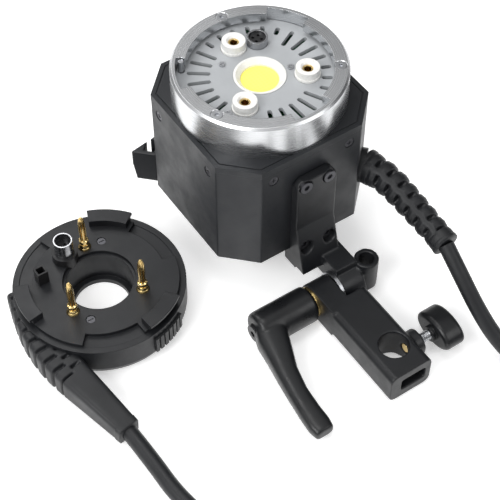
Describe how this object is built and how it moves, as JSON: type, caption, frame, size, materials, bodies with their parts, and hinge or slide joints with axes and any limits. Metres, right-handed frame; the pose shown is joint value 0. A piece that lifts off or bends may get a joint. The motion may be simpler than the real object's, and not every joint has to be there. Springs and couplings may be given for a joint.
{
  "type": "studio flash head",
  "caption": "Octagonal black remote studio flash head with silver bayonet ring, tilt bracket, stand clamp, ribbed cable and round pinned adapter plug.",
  "frame": {"origin": "middle of the rear face, on the optical axis", "axes": "+Z along the optical axis out through the mount ring; -Y towards the stand bracket; +X completes the frame"},
  "size_m": [0.2353, 0.392, 0.123],
  "materials": {
    "housing_black": "satin moulded",
    "ring_metal": "satin turned",
    "screw_steel": "plated",
    "plate_grey": "matte painted",
    "ceramic_white": "glazed",
    "contact_brass": "polished",
    "led_yellow": "phosphor gel",
    "sink_aluminium": "mill",
    "chrome_shell": "bright",
    "insert_black": "moulded",
    "board_green": "solder mask",
    "bracket_black": "powder coat",
    "lever_black": "satin moulded",
    "rubber_black": "matte",
    "adapter_black": "fine texture"
  },
  "bodies": {
    "root": {"adapter_claws": "adapter_black", "adapter_pins": "contact_brass", "adapter_plate": "adapter_black", "adapter_relief": "rubber_black", "adapter_screws": "screw_steel", "adapter_shell": "adapter_black", "board_posts": "contact_brass", "bracket_arm": "bracket_black", "bracket_screws": "screw_steel", "cable_adapter": "rubber_black", "cable_coil": "rubber_black", "cable_head": "rubber_black", "capacitors": "insert_black", "chassis_plate": "board_green", "circuit_board": "board_green", "fan_frame": "insert_black", "front_bezel": "housing_black", "gland_bush": "rubber_black", "gland_collar": "rubber_black", "grip_pad": "rubber_black", "key_post": "insert_black", "led_emitter": "led_yellow", "led_frame": "ceramic_white", "led_heatsink": "sink_aluminium", "main_housing": "housing_black", "mount_ring": "ring_metal", "pin_collars": "contact_brass", "plate_screws": "screw_steel", "plug_collar": "insert_black", "plug_insert": "insert_black", "plug_shell": "chrome_shell", "rear_cover": "housing_black", "rear_screws": "screw_steel", "ring_screws": "screw_steel", "rosette_disc": "screw_steel", "side_screws": "screw_steel", "signal_socket_insert": "insert_black", "signal_socket_shell": "chrome_shell", "socket_contacts": "contact_brass", "strain_relief": "rubber_black", "trigger_coil": "insert_black", "tube_sockets": "ceramic_white", "vent_plate": "plate_grey"},
    "clamp": {"clamp_block": "bracket_black", "brass_washer": "contact_brass"},
    "screw_feed_body": {"pressure_pad": "contact_brass"},
    "stand_screw": {"screw_shank": "chrome_shell", "screw_knob": "lever_black"},
    "lever_core": {"tilt_bolt": "screw_steel", "lever_insert": "lever_black", "lever_cap": "lever_black"},
    "lever": {"clamp_lever": "lever_black"},
    "release": {"release_lever": "housing_black", "release_link": "housing_black", "lock_pin": "screw_steel"},
    "fan": {"fan_rotor": "insert_black"}
  },
  "joints": [
    {"name": "tilt", "type": "hinge", "parent": "root", "child": "clamp", "pos_m": [0, -0.074, 0.011], "axis": [1, 0, 0], "range_deg": [-12, 100]},
    {"name": "lever_turn", "type": "hinge", "parent": "root", "child": "lever_core", "pos_m": [-0.03, -0.074, 0.011], "axis": [1, 0, 0], "range_deg": [-60, 60]},
    {"name": "lever_lift", "type": "slide", "parent": "lever_core", "child": "lever", "axis": [-1, 0, 0], "range_m": [0, 0.0038], "stiffness_N_per_m": 900, "springref_m": -0.002},
    {"name": "screw_turn", "type": "hinge", "parent": "screw_feed_body", "child": "stand_screw", "pos_m": [0.03, -0.127, 0.011], "axis": [-1, 0, 0], "range_deg": [0, 720]},
    {"name": "screw_feed", "type": "slide", "parent": "clamp", "child": "screw_feed_body", "axis": [-1, 0, 0], "range_m": [0, 0.0025]},
    {"name": "release_slide", "type": "slide", "parent": "root", "child": "release", "axis": [0, 0, -1], "range_m": [0, 0.004], "stiffness_N_per_m": 700, "springref_m": -0.003},
    {"name": "fan_spin", "type": "hinge", "parent": "root", "child": "fan", "pos_m": [0, 0, 0.008], "axis": [0, 0, 1], "continuous": true}
  ],
  "couplings": [
    {"joint": "screw_feed", "follows": "screw_turn", "m_per_rad": 0.00019894}
  ]
}
